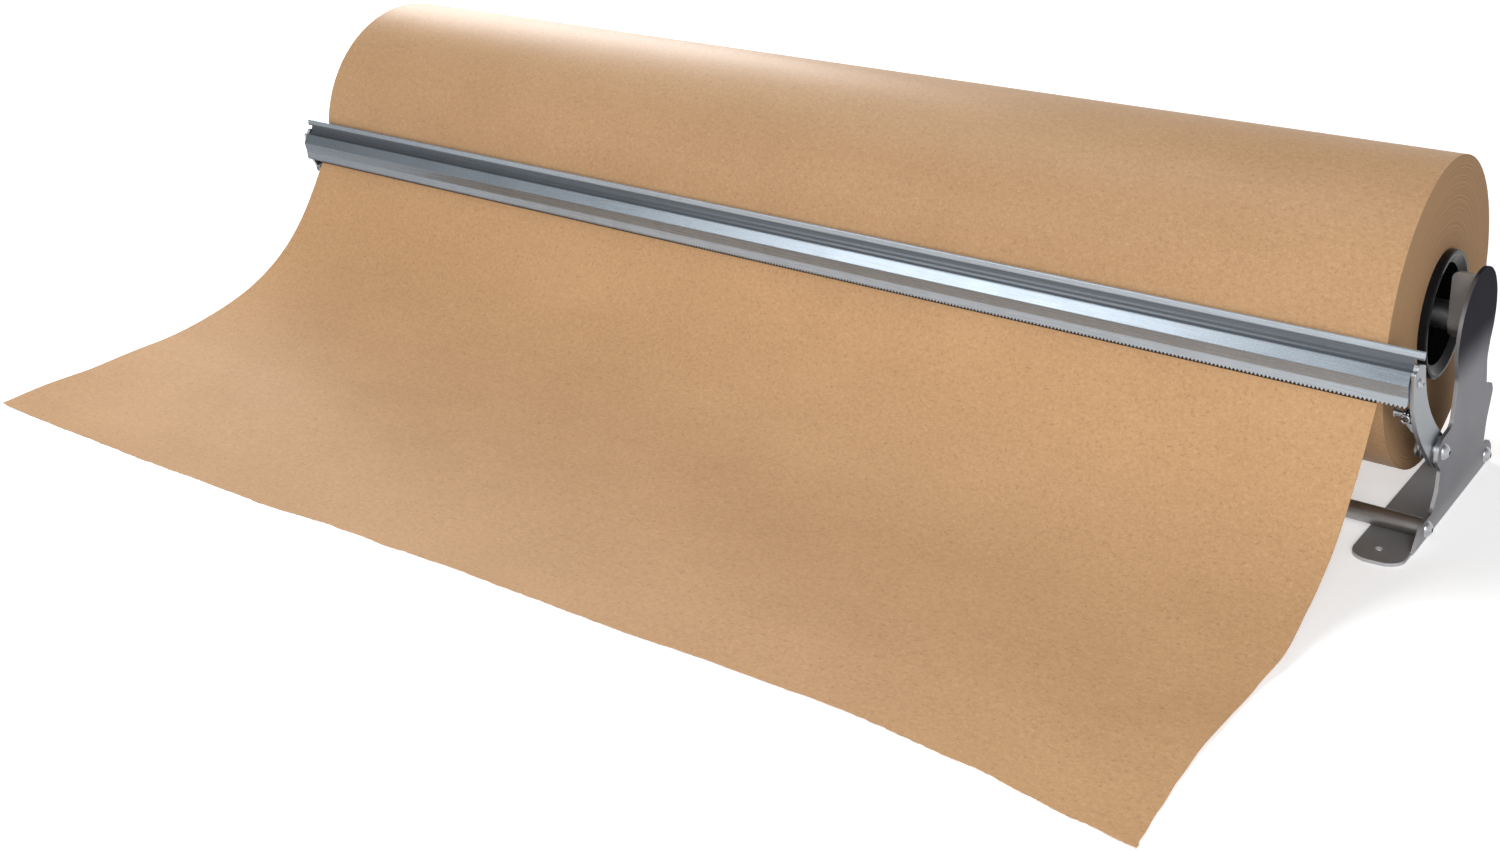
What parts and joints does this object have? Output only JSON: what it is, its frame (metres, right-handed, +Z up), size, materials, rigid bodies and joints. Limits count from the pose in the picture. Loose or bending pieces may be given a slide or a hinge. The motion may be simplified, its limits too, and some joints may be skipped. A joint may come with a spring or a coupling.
{
  "type": "counter wrapping paper holder with tear bar",
  "caption": "Counter-top holder for a wide roll of wrapping paper: end frames, rod in open saddles, sprung serrated tear bar on swinging arms, loaded with a kraft roll.",
  "frame": {"origin": "centre of the rectangle of the four counter screw holes, on the counter", "axes": "X along the roll, -Y towards the user, where the sheet comes off, +Z up"},
  "size_m": [1.0612, 0.58, 0.2405],
  "materials": {
    "frame_steel": "satin grey sheet steel",
    "saddle_steel": "bright satin",
    "tube_steel": "satin",
    "insert_brass": "turned",
    "zinc_fastener": "bright zinc plate",
    "turned_steel": "turned",
    "kraft_sheet": "matt kraft paper",
    "bar_steel": "galvanised, brushed lengthwise",
    "arm_steel": "satin",
    "spring_wire": "drawn wire",
    "rod_steel": "bright drawn bar",
    "kraft_roll": "wound kraft paper",
    "core_board": "spiral wound board",
    "black_plastic": "gloss black moulding"
  },
  "bodies": {
    "frame": {"right_end_frame": "frame_steel", "left_end_frame": "frame_steel", "right_saddle": "saddle_steel", "left_saddle": "saddle_steel", "front_tie_tube": "tube_steel", "rear_tie_tube": "tube_steel", "tube_inserts": "insert_brass", "front_tie_bolts": "zinc_fastener", "rear_tie_bolts": "zinc_fastener", "pivot_bolts": "zinc_fastener", "right_pivot_bush": "turned_steel", "left_pivot_bush": "turned_steel", "pivot_washers": "zinc_fastener", "spring_stop_pins": "turned_steel", "paper_sheet": "kraft_sheet"},
    "cutter": {"cutter_bar": "bar_steel", "right_bar_bracket": "bar_steel", "left_bar_bracket": "bar_steel", "right_arm": "arm_steel", "left_arm": "arm_steel", "arm_screws": "zinc_fastener", "arm_nuts": "zinc_fastener", "spring_pins": "turned_steel", "right_spring": "spring_wire", "left_spring": "spring_wire"},
    "rod": {"roll_rod": "rod_steel"},
    "roll": {"paper_roll": "kraft_roll", "core_tube": "core_board", "right_core_plug": "black_plastic", "left_core_plug": "black_plastic"}
  },
  "joints": [
    {"name": "cutter_swing", "type": "hinge", "parent": "frame", "child": "cutter", "pos_m": [0, -0.022, 0.0585], "axis": [1, 0, 0], "range_deg": [0, 60], "stiffness_Nm_per_rad": 1.5, "springref_deg": -45.84, "deforming": ["right_spring", "left_spring", "paper_sheet"]},
    {"name": "roll_lift", "type": "slide", "parent": "frame", "child": "rod", "axis": [0, 0, 1], "range_m": [0, 0.048]},
    {"name": "roll_spin", "type": "hinge", "parent": "rod", "child": "roll", "pos_m": [0, 0.031, 0.1325], "axis": [1, 0, 0], "continuous": true}
  ]
}
